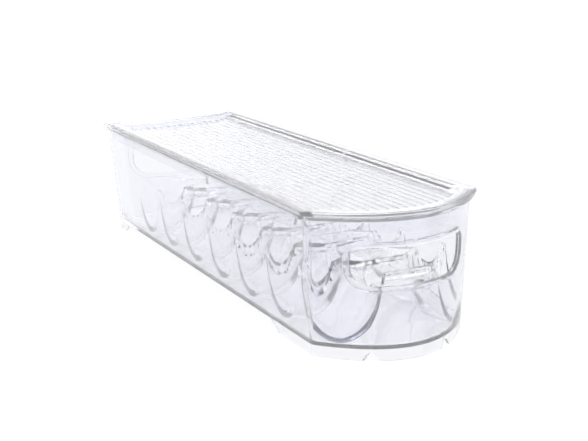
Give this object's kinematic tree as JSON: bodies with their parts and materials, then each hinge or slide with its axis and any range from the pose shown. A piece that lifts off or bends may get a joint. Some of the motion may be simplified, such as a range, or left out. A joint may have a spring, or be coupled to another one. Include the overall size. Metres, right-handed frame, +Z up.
{
  "type": "fridge bin",
  "caption": "Clear plastic fridge bin with a ribbed lift-off lid, handle openings in both ends and a lift-out egg tray of deep round cups inside.",
  "frame": {"origin": "centre of the footprint, on the surface the foot skirt stands on", "axes": "+Y along the long axis towards the hollow back end, the bowed handle end faces -Y, +X across the bin, +Z up through the lid"},
  "size_m": [0.108, 0.3839, 0.082],
  "materials": {
    "bin": "clear, polished",
    "egg_tray": "clear, polished",
    "lid": "clear, polished"
  },
  "bodies": {
    "bin": {"bin": "bin"},
    "tray": {"egg_tray": "egg_tray"},
    "lid": {"lid": "lid"}
  },
  "joints": [
    {"name": "tray_lift", "type": "slide", "parent": "bin", "child": "tray", "axis": [0, 0, 1], "range_m": [0, 0.08]},
    {"name": "lid_lift", "type": "slide", "parent": "tray", "child": "lid", "axis": [0, 0, 1], "range_m": [0, 0.08]}
  ]
}
